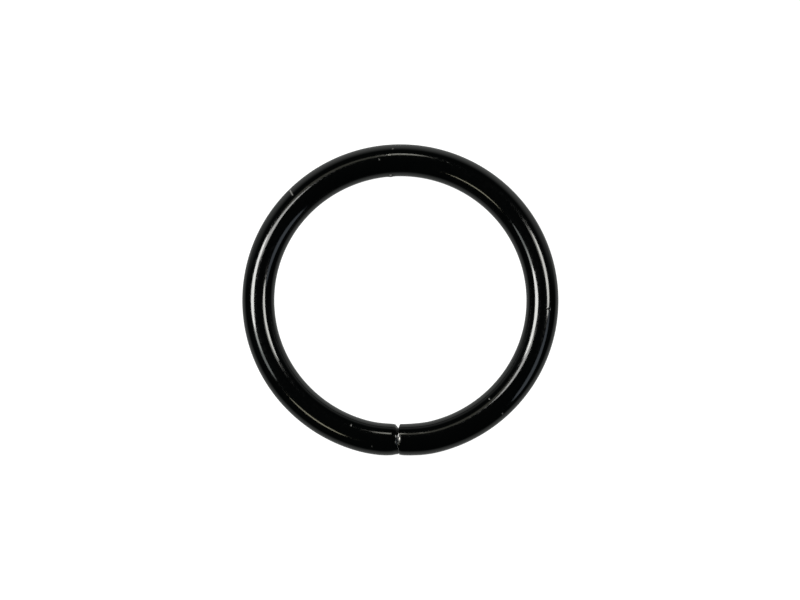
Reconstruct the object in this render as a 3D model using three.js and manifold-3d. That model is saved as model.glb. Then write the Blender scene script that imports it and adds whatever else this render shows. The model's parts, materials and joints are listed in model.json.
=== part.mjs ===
// A split key ring: one turn of round steel wire under a black coat, with its two ends butted at the split.
// Millimetres, +Z up. The ring lies flat, its centre at the origin, its crown at +Y and its split at -Y.
//
// A real split ring flexes all along its wire. Here the wire is a chain of stiff links, so that the ring can
// open: the crown, a shoulder on each side of it, and two long arms that meet at the split. A shoulder turns
// about the wire at its crown end, which parts the ends sideways, and an arm swings in the ring's plane at
// its shoulder end, which spreads the ends.
import * as THREE from "three";
import { mergeVertices } from "three/addons/utils/BufferGeometryUtils.js";
import Module from "manifold-3d";

// Driving dimensions.
const INNER_DIAMETER = 25.0;
const WIRE_DIAMETER = 3.2; // over the coat
const COAT_THICKNESS = 0.08;
const CORE_CLEARANCE = 0.03; // keeps the faceted core off the faceted coat
const SPLIT_GAP = 0.16;
const LINK_GAP = 0.3;
const RIM_CHAMFER = 0.12; // on the rim of each end at the split
const NOTCH_DEPTH = 0.33; // the V that the sheared corners leave on the inner side of the split
const NOTCH_LEFT = 0.33;
const NOTCH_RIGHT = 0.14;

// Angles in degrees from the crown, positive towards +X.
const TWIST_STATION = 15;
const SPREAD_STATION = 40;
const SPLIT_STATION = 180;

// Faceting.
const SECTION_SIDES = 16;
const ARC_STEP = 5; // degrees

const WIRE_RADIUS = WIRE_DIAMETER / 2;
const RING_RADIUS = (INNER_DIAMETER + WIRE_DIAMETER) / 2;
const CORE_INSET = COAT_THICKNESS + CORE_CLEARANCE;
const OVERSHOOT = 1; // mm, how far a cutting tool runs past the face that it opens

const wasm = await Module();
wasm.setup();

const degreesAlong = (length) => THREE.MathUtils.radToDeg(length / RING_RADIUS);

// The wire's centre line between two angles.
class RingArc extends THREE.Curve {
  constructor(from, to) {
    super();
    this.from = from;
    this.to = to;
  }

  getPoint(t, target = new THREE.Vector3()) {
    const angle = THREE.MathUtils.degToRad(THREE.MathUtils.lerp(this.from, this.to, t));
    return target.set(RING_RADIUS * Math.sin(angle), RING_RADIUS * Math.cos(angle), 0);
  }
}

// A regular polygon around a circle, with one flat facing each way along both axes.
function sectionAround(radius) {
  const corner = radius / Math.cos(Math.PI / SECTION_SIDES);
  const points = [];
  for (let i = 0; i < SECTION_SIDES; i++) {
    const turn = ((i + 0.5) * 2 * Math.PI) / SECTION_SIDES;
    points.push(new THREE.Vector2(corner * Math.cos(turn), corner * Math.sin(turn)));
  }
  return new THREE.Shape(points);
}

function solidFrom(geometry) {
  const bare = geometry.clone();
  bare.deleteAttribute("normal");
  bare.deleteAttribute("uv");
  const merged = mergeVertices(bare, 1e-4);
  return new wasm.Manifold(
    new wasm.Mesh({
      numProp: 3,
      vertProperties: merged.attributes.position.array,
      triVerts: new Uint32Array(merged.index.array),
    }),
  );
}

function geometryFrom(solid) {
  const mesh = solid.getMesh();
  const geometry = new THREE.BufferGeometry();
  geometry.setAttribute("position", new THREE.BufferAttribute(mesh.vertProperties, 3));
  geometry.setIndex(new THREE.BufferAttribute(mesh.triVerts, 1));
  geometry.computeVertexNormals();
  return geometry;
}

// A round bar along the ring from one angle to another, in an odd number of steps: one is at its middle.
function bar(from, to, radius) {
  const steps = 2 * Math.floor(Math.abs(to - from) / (2 * ARC_STEP)) + 1;
  const path = new RingArc(from, to);
  return solidFrom(
    new THREE.ExtrudeGeometry(sectionAround(radius), { steps, bevelEnabled: false, extrudePath: path }),
  );
}

// What a 45 degree chamfer takes off the rim of a bar that ends at an angle: a short sleeve less a cone.
function rimCutter(endAngle, radius) {
  const reach = 2 * RIM_CHAMFER;
  const sleeve = new THREE.CylinderGeometry(radius + reach, radius + reach, 2 * reach, SECTION_SIDES);
  const tip = radius - RIM_CHAMFER - reach;
  const cone = new THREE.CylinderGeometry(tip, tip + 4 * reach, 4 * reach, 4 * SECTION_SIDES);
  cone.translate(0, -reach, 0);
  return solidFrom(sleeve).subtract(solidFrom(cone)).transform(endFrame(endAngle).toArray());
}

// Carries +Y onto the wire's direction of travel at an end, and the origin onto the end's centre.
function endFrame(endAngle) {
  const side = Math.sign(endAngle);
  const angle = THREE.MathUtils.degToRad(endAngle);
  const outward = new THREE.Vector3(Math.sin(angle), Math.cos(angle), 0);
  const along = new THREE.Vector3(side * Math.cos(angle), -side * Math.sin(angle), 0);
  const across = new THREE.Vector3().crossVectors(outward, along);
  return new THREE.Matrix4()
    .makeBasis(outward, along, across)
    .setPosition(outward.multiplyScalar(RING_RADIUS));
}

// The V across the inner side of the split, grown on all sides by the inset of the layer that it cuts.
function notch(inset) {
  const mouth = RING_RADIUS - WIRE_RADIUS;
  const above = OVERSHOOT / NOTCH_DEPTH;
  const outline = new THREE.Shape([
    new THREE.Vector2(0, -mouth - NOTCH_DEPTH - inset),
    new THREE.Vector2((1 + above) * NOTCH_RIGHT + 2 * inset, -mouth + OVERSHOOT),
    new THREE.Vector2(-(1 + above) * NOTCH_LEFT - 2 * inset, -mouth + OVERSHOOT),
  ]);
  const prism = new THREE.ExtrudeGeometry(outline, { depth: 2 * WIRE_DIAMETER, bevelEnabled: false });
  prism.translate(0, 0, -WIRE_DIAMETER);
  return solidFrom(prism);
}

// One layer of a link: the bar between its two faces, shrunk all round by the inset. An end at the split is
// shrunk too, chamfered and notched. An end at a neighbouring link is open, and runs past its face by extra.
function layer(link, inset, extra = 0) {
  const side = Math.sign(link.to);
  const radius = WIRE_RADIUS - inset;
  const from = link.from - side * degreesAlong(extra);
  if (!link.meetsSplit) return bar(from, link.to + side * degreesAlong(extra), radius);
  const to = link.to - side * degreesAlong(inset);
  return bar(from, to, radius).subtract(rimCutter(to, radius)).subtract(notch(inset));
}

function coreOf(link) {
  return geometryFrom(layer(link, CORE_INSET));
}

function coatOf(link) {
  return geometryFrom(layer(link, 0).subtract(layer(link, COAT_THICKNESS, OVERSHOOT)));
}

// The faces of each link, half a gap short of the station between it and its neighbour.
function linksOfTheRing() {
  const half = degreesAlong(LINK_GAP / 2);
  const splitEnd = SPLIT_STATION - degreesAlong(SPLIT_GAP / 2);
  const links = [{ name: "crown", from: -TWIST_STATION + half, to: TWIST_STATION - half }];
  for (const [hand, side] of [["left", -1], ["right", 1]]) {
    links.push({
      name: `${hand}_shoulder`,
      from: side * (TWIST_STATION + half),
      to: side * (SPREAD_STATION - half),
    });
    links.push({
      name: `${hand}_arm`,
      from: side * (SPREAD_STATION + half),
      to: side * splitEnd,
      meetsSplit: true,
    });
  }
  return links;
}

function steel() {
  return new THREE.MeshStandardMaterial({ color: 0xa9a8a4, roughness: 0.35, metalness: 1.0 });
}

function blackCoat() {
  return new THREE.MeshStandardMaterial({ color: 0x0a0b0b, roughness: 0.2, metalness: 0.0 });
}

const ring = new THREE.Group();
for (const link of linksOfTheRing()) {
  const body = new THREE.Group();
  const core = new THREE.Mesh(coreOf(link), steel());
  core.name = `${link.name}_core`;
  const coat = new THREE.Mesh(coatOf(link), blackCoat());
  coat.name = `${link.name}_coat`;
  body.add(core, coat);
  ring.add(body);
}

export default ring;
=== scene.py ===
"""The looks of a split key ring: black coated steel wire, one turn, butted at the split.

The ring lies in the XY plane with its crown at +Y and its split at -Y. A place on the wire is given by its
turn, in degrees from the crown and positive towards +X, and by its section: out from the wire's centre line
and up. The wire's own shape is worked out in millimetres and becomes metres in its mesh.
"""
import json
import math
from typing import NamedTuple

import bpy
import numpy as np
from mathutils import Matrix, Vector


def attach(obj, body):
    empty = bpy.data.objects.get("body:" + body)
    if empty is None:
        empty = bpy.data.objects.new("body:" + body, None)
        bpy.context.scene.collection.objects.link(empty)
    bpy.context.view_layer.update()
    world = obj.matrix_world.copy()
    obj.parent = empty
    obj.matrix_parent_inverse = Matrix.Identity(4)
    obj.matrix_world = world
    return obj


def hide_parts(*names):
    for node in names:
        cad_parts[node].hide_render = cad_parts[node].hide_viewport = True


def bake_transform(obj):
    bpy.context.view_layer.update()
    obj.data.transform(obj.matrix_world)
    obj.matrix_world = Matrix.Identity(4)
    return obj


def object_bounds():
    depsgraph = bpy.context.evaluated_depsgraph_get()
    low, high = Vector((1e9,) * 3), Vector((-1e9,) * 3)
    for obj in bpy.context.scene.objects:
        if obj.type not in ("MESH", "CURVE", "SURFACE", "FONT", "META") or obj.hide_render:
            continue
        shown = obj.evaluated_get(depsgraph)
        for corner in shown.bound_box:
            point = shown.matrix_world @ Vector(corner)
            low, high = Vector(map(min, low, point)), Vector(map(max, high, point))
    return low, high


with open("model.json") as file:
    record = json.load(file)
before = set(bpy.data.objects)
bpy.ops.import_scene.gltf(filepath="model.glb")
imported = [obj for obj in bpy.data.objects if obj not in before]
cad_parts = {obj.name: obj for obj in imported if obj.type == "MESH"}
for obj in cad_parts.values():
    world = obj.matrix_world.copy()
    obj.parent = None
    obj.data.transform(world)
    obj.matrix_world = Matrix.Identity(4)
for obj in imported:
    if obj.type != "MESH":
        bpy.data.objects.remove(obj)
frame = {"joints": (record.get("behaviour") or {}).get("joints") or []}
cad_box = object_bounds()

MM = 0.001


def joint_place(name):
    """The ring's radius in mm and the turn in degrees at which a joint sits on the wire."""
    joint = next(j for j in frame["joints"] if j["name"] == name)
    x, y, _ = joint["pos_m"]
    return math.hypot(x, y) / MM, math.degrees(math.atan2(abs(x), y))


RING, TWIST_TURN = joint_place("twist_left")
SPREAD_TURN = joint_place("spread_left")[1]
WIRE = cad_box[1].z / MM  # the wire's radius over the coat

COAT = 0.08  # thickness of the coat
CORE_FIT = 0.005  # between the coat and the steel
BORE = WIRE - COAT  # the coat's inner radius
CORE = BORE - CORE_FIT  # the steel's radius

# The stretches between which the ring's pieces are divided, in degrees of turn on each side.
SHOULDER_MIDDLE = (TWIST_TURN + SPREAD_TURN) / 2
ARM_START = 2 * SPREAD_TURN - SHOULDER_MIDDLE

# Fineness of the meshes. Steps are in degrees of turn.
SECTION_LINES = 72
WALL_STEP = 1.0
TIP_STEP = 0.3
TIP_TURN = 170.0  # from here to the split the wall has the finer step
INNER_STEP = 2.0
MARK_LINES = 7  # lines added on each side of a mark
LEAST_ANGLE = 0.4  # between lines round the section
LEAST_TURN = 0.02  # between lines along the wire
TIP_WALL_RINGS, RIM_RINGS, FACE_RINGS = 16, 12, 11  # on the wall by an end, round its rim and over its flat
CROWDING = 1.6  # how much the wall's rings crowd towards the rim
RIM_START = 82  # how far round the rim its first ring lies, in degrees
FACE_START, FACE_STOP = 0.92, 0.08  # the shares of the flat's radius at its first and last ring

# The split, in mm.
HALF_GAP = 0.015
CUT_AT = -0.03  # where the cut crosses the wire's middle, positive towards +X
LEAN = 0.07  # how far the cut leans from upright, from the wire's middle to its top
BOW = 0.12  # how far the cut curves, from the wire's middle to its sides
PINCH_REACH, NUDGE_REACH = 1.75, 3.7  # how far from the split an end is pinched and nudged
TIP_REACH = 1.2  # the length of wall that follows the shape of its end
WALL_END = 1.25 * TIP_REACH  # from the split plane to where the plain wall stops
CAVITY_END = 0.75  # from the split plane to the end of the coat's inside
CAVITY_CORNER = 0.06  # the bevel round the end of the coat's inside
CORE_CORNER = 0.08  # the bevel round the end of the steel


def smooth(t):
    """Eases t, held between 0 and 1, from 0 to 1."""
    t = np.clip(t, 0, 1)
    return t * t * (3 - 2 * t)


def between_stations(stations, angle):
    """The values of a list of stations at each angle, eased from one station to the next."""
    at = np.searchsorted(stations[:, 0], angle, side="right").clip(1, len(stations) - 1)
    before, after = stations[at - 1], stations[at]
    share = smooth((angle - before[:, 0]) / (after[:, 0] - before[:, 0]))[:, None]
    return (before + (after - before) * share).T[1:]


class End:
    """The shape of one end of the wire at the split.

    Its rims over and under the wire are lists of (angle, length along the wire, depth, power). The angle
    goes round the section from outwards, 0, to inwards, 180. Power 1 is a flat bevel and power 2 an
    elliptical round. The pinch presses the outer side in, the nudge moves the whole end inwards, and the
    taper is the share that the end is thinner by and how far that reaches.
    """

    def __init__(self, side, over, under, pinch, taper, nudge):
        self.side = side
        self.over = np.array(over)
        self.under = np.array(under)
        self.pinch = pinch
        self.taper = taper
        self.nudge = nudge

    def rim(self, theta):
        """The rim's length, depth and power at each angle round the section."""
        angle = np.degrees(np.arccos(np.cos(theta)))
        over, under = between_stations(self.over, angle), between_stations(self.under, angle)
        return np.where(np.sin(theta) < 0, under, over)

    def settle(self, distance, out, up):
        """Moves a section point as the end is pinched on its outer side, tapered and nudged inwards."""
        pinch = self.pinch * smooth(1 - distance / PINCH_REACH) * smooth(out / WIRE)
        amount, reach = self.taper
        taper = 1 - amount * smooth(1 - distance / reach)
        nudge = self.nudge * smooth(1 - distance / NUDGE_REACH)
        return out * taper - pinch - nudge, up * taper


LEFT_OVER = [
    (0, 0.14, 0.12, 2.0),
    (45, 0.24, 0.13, 2.0),
    (64, 0.28, 0.16, 2.0),
    (78, 0.30, 0.20, 2.0),
    (92, 0.18, 0.13, 2.0),
    (122, 0.26, 0.13, 2.0),
    (150, 0.38, 0.36, 1.1),
    (180, 0.39, 0.38, 1.05),
]
RIGHT_OVER = [
    (0, 0.60, 0.10, 2.0),
    (45, 0.26, 0.08, 2.0),
    (62, 0.24, 0.09, 2.0),
    (72, 0.24, 0.105, 1.1),
    (95, 0.30, 0.075, 1.1),
    (108, 0.12, 0.10, 2.0),
    (150, 0.07, 0.28, 1.2),
    (180, 0.07, 0.32, 1.05),
]
# The corner under the left end is broken by a bevel, which lets the ends pass each other.
LEFT_UNDER = [
    (0, 0.14, 0.12, 2.0),
    (45, 0.24, 0.13, 2.0),
    (64, 0.32, 0.36, 1.05),
    (116, 0.32, 0.36, 1.05),
    (150, 0.38, 0.36, 1.1),
    (180, 0.39, 0.38, 1.05),
]
LEFT = End(-1, LEFT_OVER, LEFT_UNDER, pinch=0.11, taper=(0.05, 0.7), nudge=0.08)
RIGHT = End(1, RIGHT_OVER, RIGHT_OVER, pinch=0.0, taper=(0.03, 2.4), nudge=0.12)


class Speck(NamedTuple):
    """A speck, burr, pit or worn spot on the coat.

    Its place is a turn and an angle round the section, from outwards to up. It spreads along the wire and
    round the section, rises by a height, and shows a share of bare steel.
    """

    turn: float
    angle: float
    along: float
    around: float
    height: float
    bare: float


SPECKS = [
    Speck(-178.9, 77, 0.025, 0.060, 0.004, 0.4),
    Speck(-170.1, 51, 0.035, 0.060, 0.020, 0.1),
    Speck(-160.0, 106, 0.035, 0.060, 0.030, 0.3),
    Speck(-9.4, 92, 0.040, 0.045, 0.010, 0.25),
    Speck(-6.7, 79, 0.030, 0.060, 0.015, 0.0),
    Speck(-5.2, 79, 0.060, 0.030, 0.000, 0.8),
    Speck(-5.2, 163, 0.070, 0.080, 0.070, 1.0),
    Speck(-5.2, 178, 0.220, 0.220, 0.070, 0.0),
    Speck(-4.3, 160, 0.050, 0.040, -0.030, 0.0),
    Speck(-3.7, 54, 0.040, 0.050, 0.020, 0.35),
    Speck(18.5, 80, 0.040, 0.050, 0.010, 0.0),
    Speck(93.5, 64, 0.060, 0.050, -0.090, 0.0),
    Speck(93.5, 73, 0.035, 0.045, 0.020, 0.2),
    Speck(138.0, 40, 0.035, 0.055, 0.030, 0.35),
    Speck(138.2, 116, 0.035, 0.050, 0.025, 0.3),
    Speck(179.55, 89, 0.050, 0.140, 0.000, 0.9),
]

# A nick across the wire's shoulder.
NICK_TURN, NICK_ANGLE = -46.3, 45  # its middle
NICK_LEAN = -0.27  # how far it slants along the wire for its length round the section
NICK_HALF_LENGTH, NICK_HALF_WIDTH = 0.55, 0.05
NICK_DEPTH = 0.06
NICK_LIP = 0.6  # the height of its lips for its depth
NICK_BARE = 0.9
NICK_SPREAD = (-0.8, 0, 0.8)  # turns past its middle that need fine lines, because it slants


def distance_round(theta, angle):
    """Distance in mm round the section from an angle in degrees, the shorter way."""
    turn = (theta - math.radians(angle) + math.pi) % (2 * math.pi) - math.pi
    return WIRE * turn


def speck_share(speck, turn, theta):
    """How much of a speck there is, from 1 at its middle to 0 far from it."""
    along = RING * np.radians(turn - speck.turn)
    around = distance_round(theta, speck.angle)
    return np.exp(-((along / speck.along) ** 2 + (around / speck.around) ** 2) / 2)


def nick_shares(turn, theta):
    """How much of the nick's groove and of its raised lips there is, faded over its outer halves."""
    length = distance_round(theta, NICK_ANGLE)
    offset = RING * np.radians(turn - NICK_TURN) - NICK_LEAN * length
    fade = smooth(2 * (1 - np.abs(length) / NICK_HALF_LENGTH))
    groove = np.exp(-((offset / NICK_HALF_WIDTH) ** 2))
    lip = np.exp(-(((np.abs(offset) - 2 * NICK_HALF_WIDTH) / NICK_HALF_WIDTH) ** 2))
    return fade * groove, fade * lip


def relief(turn, theta):
    """How far the marks raise the coat at a turn and at angles round the section."""
    height = np.zeros_like(theta)
    for speck in SPECKS:
        height += speck.height * speck_share(speck, turn, theta)
    groove, lip = nick_shares(turn, theta)
    return height + NICK_DEPTH * (NICK_LIP * lip - groove)


def bareness(turn, theta):
    """How bare of the coat the wire is, from 0 to 1."""
    shares = [speck.bare * speck_share(speck, turn, theta) for speck in SPECKS]
    return np.max([*shares, NICK_BARE * nick_shares(turn, theta)[0]], axis=0)


def on_ring(turn, out, up):
    """Points in mm from turns in degrees and section places."""
    angle = np.radians(turn)
    points = (RING + out) * np.sin(angle), (RING + out) * np.cos(angle), up + 0 * angle
    return np.stack(np.broadcast_arrays(*points), axis=-1)


def turn_before_split(end, distance):
    """The turn at a distance in mm along the wire from the split plane."""
    return end.side * (180 - np.degrees(distance / RING))


def wall_ring(end, turn, theta, radius, raised=False):
    """One ring of section points at a turn. A raised ring carries the marks."""
    rho = radius + (relief(turn, theta) if raised else 0)
    distance = RING * math.radians(180 - abs(turn))
    out, up = end.settle(distance, rho * np.cos(theta), rho * np.sin(theta))
    return on_ring(turn, out, up)


def face_ring(end, distance, theta, rho, raised=False):
    """One ring of section points at distances from the split plane. A raised ring carries the marks."""
    if raised:
        rho = rho + relief(turn_before_split(end, distance), theta)
    out, up = end.settle(distance, rho * np.cos(theta), rho * np.sin(theta))
    turn = end.side * (180 - np.degrees(np.arcsin(distance / (RING + out))))
    return on_ring(turn, out, up)


def cut(end, theta, rho):
    """Distance from the split plane of the end's flat, which leans and bows with the cut."""
    out, up = rho * np.cos(theta) / WIRE, rho * np.sin(theta) / WIRE
    return HALF_GAP + end.side * (CUT_AT + BOW * out**2 - LEAN * up)


def tip_rings(end, theta):
    """The coat's outer rings over an end, from the wall round the rim to the middle of the face."""
    length, depth, power = end.rim(theta)
    edge = cut(end, theta, WIRE) + length
    rings = [
        face_ring(end, edge + (TIP_REACH - edge) * t**CROWDING, theta, WIRE, True)
        for t in np.linspace(1, 0, TIP_WALL_RINGS)
    ]
    for t in np.sin(np.radians(np.linspace(RIM_START, 0, RIM_RINGS))):
        rho = WIRE - depth * (1 - t)
        drop = length * (1 - (1 - t**power) ** (1 / power))
        rings.append(face_ring(end, cut(end, theta, rho) + drop, theta, rho, True))
    for t in np.linspace(FACE_START, FACE_STOP, FACE_RINGS):
        rho = (WIRE - depth) * t
        rings.append(face_ring(end, cut(end, theta, rho), theta, rho))
    return rings


def section_angles(marks):
    """Angles round the section, closer together at the marks."""
    angles = set(np.linspace(0, 360, SECTION_LINES, endpoint=False))
    for angle, pitch in marks:
        angles |= {(angle + k * pitch) % 360 for k in range(-MARK_LINES, MARK_LINES + 1)}
    return np.radians(thin_out(sorted(angles), LEAST_ANGLE))


def turns_between(start, stop, step, marks):
    """Turns from one to another, closer together at the marks."""
    low, high = sorted((start, stop))
    count = max(1, round((high - low) / step))
    turns = set(np.linspace(low, high, count + 1))
    for turn, pitch in marks:
        turns |= {turn + k * pitch for k in range(-MARK_LINES, MARK_LINES + 1)}
    inside = [t for t in sorted(turns) if low < t < high]
    turns = thin_out([low, *inside, high], LEAST_TURN)
    return turns if start < stop else turns[::-1]


def thin_out(values, least):
    """The sorted values less those nearer than least to the one before."""
    kept = [values[0]]
    for value in values[1:-1]:
        if value - kept[-1] >= least and values[-1] - value >= least:
            kept.append(value)
    return [*kept, values[-1]]


def lines_at_marks(start, stop):
    """Where the marks between two turns need fine lines, round the section and along the wire.

    Both lists hold the middle of each mark and the pitch of its lines, in degrees.
    """
    low, high = sorted((start, stop))
    specks = [speck for speck in SPECKS if low < speck.turn < high]
    found = [(speck.turn, speck.angle, speck.along / 2, speck.around / 2) for speck in specks]
    if low < NICK_TURN < high:
        pitches = NICK_HALF_WIDTH / 2, NICK_HALF_LENGTH / MARK_LINES
        found += [(NICK_TURN + shift, NICK_ANGLE, *pitches) for shift in NICK_SPREAD]
    rounds = [(angle, math.degrees(around / WIRE)) for _, angle, _, around in found]
    lengths = [(turn, math.degrees(along / RING)) for turn, _, along, _ in found]
    return rounds, lengths


def loft(name, rings, caps, flat_bands=()):
    """A closed mesh through rings of points in mm.

    With caps, a fan closes each end. Without, the last ring joins the first. A band is numbered as the ring
    that it starts from. The bands in flat_bands, which may hold "caps" too, are shaded flat.
    """
    count = len(rings[0])
    points = [*np.concatenate(rings)]
    bands = [(i, i + 1) for i in range(len(rings) - 1)]
    if not caps:
        bands.append((len(rings) - 1, 0))
    faces, flat = [], []
    for a, b in bands:
        for k in range(count):
            n = (k + 1) % count
            faces.append((a * count + k, a * count + n, b * count + n, b * count + k))
            flat.append(a in flat_bands)
    if caps:
        for ring, turned in ((0, False), (len(rings) - 1, True)):
            middle = len(points)
            points.append(rings[ring].mean(axis=0))
            for k in range(count):
                pair = (ring * count + (k + 1) % count, ring * count + k)
                faces.append((*(pair[::-1] if turned else pair), middle))
                flat.append("caps" in flat_bands)
    mesh = bpy.data.meshes.new(name)
    mesh.from_pydata([p * MM for p in points], [], faces)
    if signed_volume(mesh) < 0:
        mesh.flip_normals()
    mesh.polygons.foreach_set("use_smooth", [not f for f in flat])
    borders = {key for face in mesh.polygons if not face.use_smooth for key in face.edge_keys}
    mesh.edges.foreach_set("use_edge_sharp", [edge.key in borders for edge in mesh.edges])
    mesh.update()
    piece = bpy.data.objects.new(name, mesh)
    bpy.context.scene.collection.objects.link(piece)
    return piece


def signed_volume(mesh):
    """Six times the volume of a closed mesh, negative when its faces point in."""
    mesh.calc_loop_triangles()
    points = np.array([v.co for v in mesh.vertices])
    corners = points[[list(t.vertices) for t in mesh.loop_triangles]]
    return np.einsum("ij,ij->i", corners[:, 0], np.cross(corners[:, 1], corners[:, 2])).sum()


def coat_sleeve(name, end, start, stop):
    """A stretch of the coat from one turn to another, as a tube with flat ends."""
    rounds, lengths = lines_at_marks(start, stop)
    theta = section_angles(rounds)
    outside = [wall_ring(end, t, theta, WIRE, True) for t in turns_between(start, stop, WALL_STEP, lengths)]
    inside = [wall_ring(end, t, theta, BORE) for t in turns_between(stop, start, INNER_STEP, [])]
    ends = (len(outside) - 1, len(outside) + len(inside) - 1)
    return loft(name, outside + inside, caps=False, flat_bands=ends)


def coat_arm(name, end, start):
    """The coat of an arm, from a turn to its closed end at the split."""
    rounds, lengths = lines_at_marks(start, end.side * 180)
    theta = section_angles(rounds)
    tip_start, last = end.side * TIP_TURN, turn_before_split(end, WALL_END)
    turns = turns_between(start, tip_start, WALL_STEP, lengths)[:-1]
    turns += turns_between(tip_start, last, TIP_STEP, lengths)
    outside = [wall_ring(end, t, theta, WIRE, True) for t in turns] + tip_rings(end, theta)
    inside = [face_ring(end, CAVITY_END, theta, BORE * t) for t in (0.3, 0.7, 0.96)]
    inside += [face_ring(end, CAVITY_END + CAVITY_CORNER, theta, BORE)]
    inside += [wall_ring(end, t, theta, BORE) for t in turns_between(last, start, INNER_STEP, [])]
    return loft(name, inside + outside, caps=True, flat_bands=(len(inside) - 1,))


def core_bar(name, end, start, stop):
    """A stretch of the steel wire inside the coat, with flat faces."""
    theta = section_angles([])
    rings = [wall_ring(end, t, theta, CORE) for t in turns_between(start, stop, INNER_STEP, [])]
    return loft(name, rings, caps=True, flat_bands=("caps",))


def core_arm(name, end, start):
    """The steel of an arm, from a turn to its bevelled end inside the coat."""
    theta = section_angles([])
    last = turn_before_split(end, WALL_END)
    rings = [wall_ring(end, t, theta, CORE) for t in turns_between(start, last, INNER_STEP, [])]
    near = CAVITY_END + CORE_FIT
    rings += [face_ring(end, near + CORE_CORNER, theta, CORE)]
    rings += [face_ring(end, near, theta, CORE * t) for t in (0.94, 0.5)]
    return loft(name, rings, caps=True, flat_bands=("caps",))


# Materials.

BARE_STEEL = (0.55, 0.54, 0.52)
BARE_ROUGHNESS = 0.3  # what bare steel adds to the coat's roughness


def new_material(name):
    """A new material, its node tree and its shader."""
    material = bpy.data.materials.new(name)
    material.use_nodes = True
    shader = material.node_tree.nodes["Principled BSDF"]
    return material, material.node_tree, shader


def add_node(tree, kind, links=None, **settings):
    """Adds a node, sets its properties and sockets, and links other nodes' outputs to its inputs."""
    node = tree.nodes.new(kind)
    for key, value in settings.items():
        if hasattr(node, key):
            setattr(node, key, value)
        else:
            node.inputs[key.replace("_", " ")].default_value = value
    for socket, source in (links or {}).items():
        tree.links.new(source, node.inputs[socket])
    return node


def noise(tree, place, scale, detail=2.0, roughness=0.5):
    """A noise's value, from 0 to 1, with its scale in waves per metre."""
    node = add_node(
        tree, "ShaderNodeTexNoise", {"Vector": place}, Scale=scale, Detail=detail, Roughness=roughness
    )
    return node.outputs["Fac"]


def remap(tree, value, low, high, to_low, to_high):
    """A value eased from one range to another."""
    node = add_node(tree, "ShaderNodeMapRange", {"Value": value}, interpolation_type="SMOOTHSTEP")
    node.inputs["From Min"].default_value = low
    node.inputs["From Max"].default_value = high
    node.inputs["To Min"].default_value = to_low
    node.inputs["To Max"].default_value = to_high
    return node.outputs["Result"]


def blend_colours(tree, share, first, second):
    """The blend of two colours, each given as a tuple or as a socket."""
    node = add_node(tree, "ShaderNodeMix", data_type="RGBA")
    tree.links.new(share, node.inputs["Factor"])
    for socket, colour in ((node.inputs[6], first), (node.inputs[7], second)):
        if isinstance(colour, tuple):
            socket.default_value = (*colour, 1)
        else:
            tree.links.new(colour, socket)
    return node.outputs[2]


def bump(tree, height, distance, strength, under=None):
    """A normal bumped by a height, over another normal if there is one under it."""
    node = add_node(tree, "ShaderNodeBump", {"Height": height}, Distance=distance, Strength=strength)
    if under is not None:
        tree.links.new(under, node.inputs["Normal"])
    return node.outputs["Normal"]


def black_coat():
    """Glossy black enamel with a faint orange peel, fine grain and uneven gloss, bare at its marks."""
    material, tree, shader = new_material("black_coat")
    place = add_node(tree, "ShaderNodeTexCoord").outputs["Object"]
    cloud = noise(tree, place, 420, 3)
    tone = blend_colours(tree, cloud, (0.0002, 0.0003, 0.0003), (0.0007, 0.0008, 0.0008))
    bare = add_node(tree, "ShaderNodeAttribute", attribute_name="bare").outputs["Fac"]
    tree.links.new(blend_colours(tree, bare, tone, BARE_STEEL), shader.inputs["Base Color"])
    tree.links.new(bare, shader.inputs["Metallic"])
    gloss = noise(tree, place, 2600, 4, 0.6)
    rough = add_node(tree, "ShaderNodeMath", {0: bare}, operation="MULTIPLY_ADD")
    rough.inputs[1].default_value = BARE_ROUGHNESS
    tree.links.new(remap(tree, gloss, 0.3, 0.7, 0.07, 0.13), rough.inputs[2])
    tree.links.new(rough.outputs[0], shader.inputs["Roughness"])
    shader.inputs["IOR"].default_value = 1.5
    peel = bump(tree, noise(tree, place, 1500, 2), 0.00001, 0.1)
    grain = bump(tree, noise(tree, place, 14000, 2), 0.000002, 0.1, peel)
    tree.links.new(grain, shader.inputs["Normal"])
    return material


def drawn_steel():
    """Drawn spring wire: satin steel with fine die lines."""
    material, tree, shader = new_material("drawn_steel")
    place = add_node(tree, "ShaderNodeTexCoord").outputs["Object"]
    cloud = noise(tree, place, 900, 3)
    tone = blend_colours(tree, cloud, (0.42, 0.41, 0.39), (0.60, 0.59, 0.57))
    tree.links.new(tone, shader.inputs["Base Color"])
    shader.inputs["Metallic"].default_value = 1.0
    lines = noise(tree, place, 9000, 2)
    tree.links.new(remap(tree, lines, 0.3, 0.7, 0.28, 0.45), shader.inputs["Roughness"])
    tree.links.new(bump(tree, lines, 0.000004, 0.4), shader.inputs["Normal"])
    return material


def bare_marks(piece):
    """Stores how bare each point of a coat is, for its material."""
    points = np.array([v.co for v in piece.data.vertices]) / MM
    turn = np.degrees(np.arctan2(points[:, 0], points[:, 1]))
    theta = np.arctan2(points[:, 2], np.hypot(points[:, 0], points[:, 1]) - RING)
    layer = piece.data.attributes.new("bare", "FLOAT", "POINT")
    layer.data.foreach_set("value", bareness(turn, theta))


COAT_MATERIAL = black_coat()
STEEL_MATERIAL = drawn_steel()


def dress(piece, material, nodes):
    """Gives a piece its material in a new slot, and hides the CAD nodes that it stands for."""
    piece.data.materials.append(material)
    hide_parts(*nodes)


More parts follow.
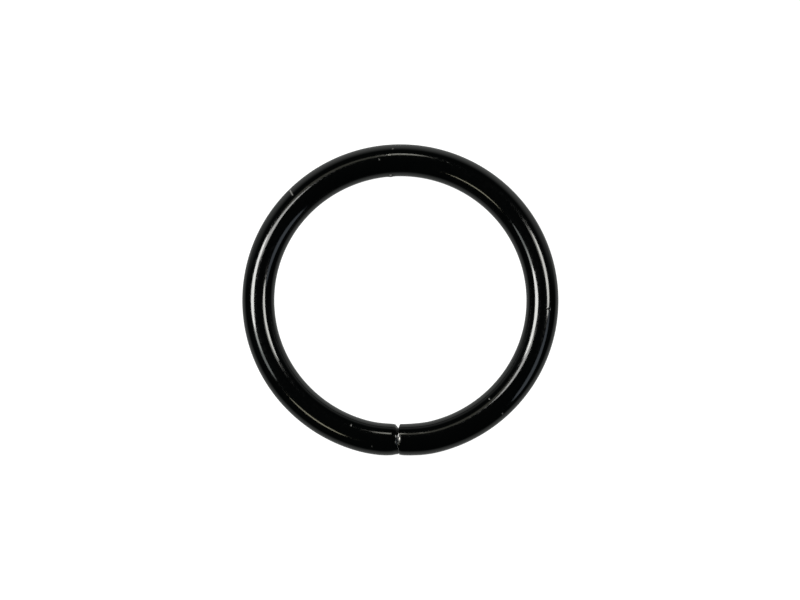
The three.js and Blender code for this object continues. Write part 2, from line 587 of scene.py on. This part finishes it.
def build_side(hand, end):
    """The coat and the steel of one half of the ring: a bend at each joint and a stiff arm."""
    side = end.side
    crown, shoulder, arm = "crown", f"{hand}_shoulder", f"{hand}_arm"
    bends = [
        ("crown", 0.0, SHOULDER_MIDDLE, crown, shoulder),
        ("shoulder", SHOULDER_MIDDLE, ARM_START, shoulder, arm),
    ]
    for label, start, stop, before, after in bends:
        coat = coat_sleeve(f"coat_{label}_{hand}", end, side * start, side * stop)
        bare_marks(coat)
        dress(coat, COAT_MATERIAL, [f"{before}_coat", f"{after}_coat"])
        core = core_bar(f"wire_{label}_{hand}", end, side * start, side * stop)
        dress(core, STEEL_MATERIAL, [f"{before}_core", f"{after}_core"])
        for piece in (coat, core):
            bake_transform(piece)
    coat = coat_arm(f"coat_arm_{hand}", end, side * ARM_START)
    bare_marks(coat)
    dress(coat, COAT_MATERIAL, [f"{arm}_coat"])
    core = core_arm(f"wire_arm_{hand}", end, side * ARM_START)
    dress(core, STEEL_MATERIAL, [f"{arm}_core"])
    for piece in (coat, core):
        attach(piece, arm)


build_side("left", LEFT)
build_side("right", RIGHT)


# The studio.

FLOOR_GLOW = 1.0
FLOOR_WHITE = 0.2
FLOOR_DROP = 0.0036  # clears the end that twists down
LAMP_DISTANCE = 0.6

# Each umbrella's name, azimuth, zenith, width, height and roll in degrees, radiance, and colour.
UMBRELLAS = [
    ("key_left", 287, 42.5, 29, 18, -31, 18.5, (1.0, 1.0, 0.97)),
    ("key_left_upper", 314.5, 28.5, 22, 9, -52, 9.0, (1.0, 1.0, 0.97)),
    ("key_left_edge", 267, 47, 11, 14, 0, 3.6, (0.97, 1.0, 0.94)),
    ("key_left_lower", 258, 47.5, 17, 13, 0, 3.0, (0.93, 1.0, 0.97)),
    ("key_right", 67, 42, 24, 15, 20, 13.5, (1.0, 1.0, 0.95)),
    ("key_right_upper", 52, 32, 9, 9, 50, 3.5, (1.0, 1.0, 0.93)),
    ("window_right", 106, 62, 44, 17, 36, 1.1, (0.78, 0.88, 1.0)),
    ("slit_back", 0.5, 36, 7, 9, 0, 5.0, (1.0, 1.0, 0.9)),
    ("glow_back", 338, 33, 28, 12, -20, 0.7, (1.0, 1.0, 0.82)),
    ("warm_front", 220.5, 47.5, 23, 6, 0, 5.0, (1.0, 0.96, 0.72)),
]


def floor():
    """A pale light table, which mirrors in nothing."""
    reach = 2.0
    mesh = bpy.data.meshes.new("floor")
    corners = [(-reach, -reach, 0), (reach, -reach, 0), (reach, reach, 0), (-reach, reach, 0)]
    mesh.from_pydata(corners, [], [(0, 1, 2, 3)])
    plane = bpy.data.objects.new("floor", mesh)
    plane.location.z = cad_box[0].z - FLOOR_DROP
    plane.visible_glossy = False
    bpy.context.scene.collection.objects.link(plane)
    material, _, shader = new_material("light_table")
    shader.inputs["Base Color"].default_value = (FLOOR_WHITE, FLOOR_WHITE, FLOOR_WHITE, 1)
    shader.inputs["Roughness"].default_value = 0.6
    shader.inputs["Specular IOR Level"].default_value = 0.0
    shader.inputs["Emission Color"].default_value = (1, 1, 1, 1)
    shader.inputs["Emission Strength"].default_value = FLOOR_GLOW
    mesh.materials.append(material)


def towards(azimuth, zenith):
    """A unit direction: azimuth clockwise from +Y seen from above, zenith down from +Z."""
    a, z = math.radians(azimuth), math.radians(zenith)
    return Vector((math.sin(z) * math.sin(a), math.sin(z) * math.cos(a), math.cos(z)))


def umbrella(name, azimuth, zenith, wide, high, roll, radiance, colour):
    """An elliptical area light that covers wide by high degrees as seen from the ring.

    Its wide axis is level at no roll. A positive roll lowers the end at the greater azimuth.
    """
    light = bpy.data.lights.new(name, "AREA")
    light.shape = "ELLIPSE"
    light.size = 2 * LAMP_DISTANCE * math.tan(math.radians(wide / 2))
    light.size_y = 2 * LAMP_DISTANCE * math.tan(math.radians(high / 2))
    area = math.pi / 4 * light.size * light.size_y
    light.energy = radiance * math.pi * area
    light.color = colour
    lamp = bpy.data.objects.new(name, light)
    back = towards(azimuth, zenith)
    level = Vector((0, 0, 1)).cross(back).normalized()
    facing = Matrix((level, back.cross(level), back)).transposed().to_4x4()
    rolled = facing @ Matrix.Rotation(math.radians(roll), 4, "Z")
    lamp.matrix_world = Matrix.Translation(back * LAMP_DISTANCE) @ rolled
    lamp.visible_camera = False
    bpy.context.scene.collection.objects.link(lamp)


def surroundings():
    """A dark room over a grey floor, brighter low down behind the ring. The camera sees plain white."""
    world = bpy.data.worlds.new("studio")
    bpy.context.scene.world = world
    world.use_nodes = True
    tree = world.node_tree
    background = tree.nodes["Background"]
    way = add_node(tree, "ShaderNodeSeparateXYZ")
    tree.links.new(add_node(tree, "ShaderNodeTexCoord").outputs["Generated"], way.inputs[0])
    behind = remap(tree, way.outputs["Y"], 0.15, 0.80, 0.0, 0.50)
    low = remap(tree, way.outputs["Z"], 0.42, -0.17, 0.0, 1.0)
    glow = add_node(tree, "ShaderNodeMath", {0: behind, 1: low}, operation="MULTIPLY").outputs[0]
    ground = remap(tree, way.outputs["Z"], -0.12, -0.55, 0.0, 0.36)
    both = add_node(tree, "ShaderNodeMath", {0: glow, 1: ground}, operation="MAXIMUM").outputs[0]
    room = blend_colours(tree, both, (0.012, 0.016, 0.016), (1.0, 1.03, 1.0))
    seen = add_node(tree, "ShaderNodeLightPath").outputs["Is Camera Ray"]
    tree.links.new(blend_colours(tree, seen, room, (1.0, 1.0, 1.0)), background.inputs["Color"])


def camera():
    """A long lens over the front of the ring, a little off straight down."""
    lens, sensor = 300.0, 36.0  # mm
    seen_width = 0.0794
    back = towards(179.2, 9.15)
    aim = Vector((-0.000035, 0.000005, 0))
    data = bpy.data.cameras.new("camera")
    data.lens, data.sensor_width = lens, sensor
    data.clip_start = 0.001
    body = bpy.data.objects.new("camera", data)
    bpy.context.scene.collection.objects.link(body)
    body.location = aim + back * seen_width * lens / sensor
    body.rotation_mode = "QUATERNION"
    body.rotation_quaternion = (-back).to_track_quat("-Z", "Y")
    bpy.context.scene.camera = body
    bpy.context.scene.view_settings.view_transform = "Standard"


floor()
for lamp_values in UMBRELLAS:
    umbrella(*lamp_values)
surroundings()
camera()
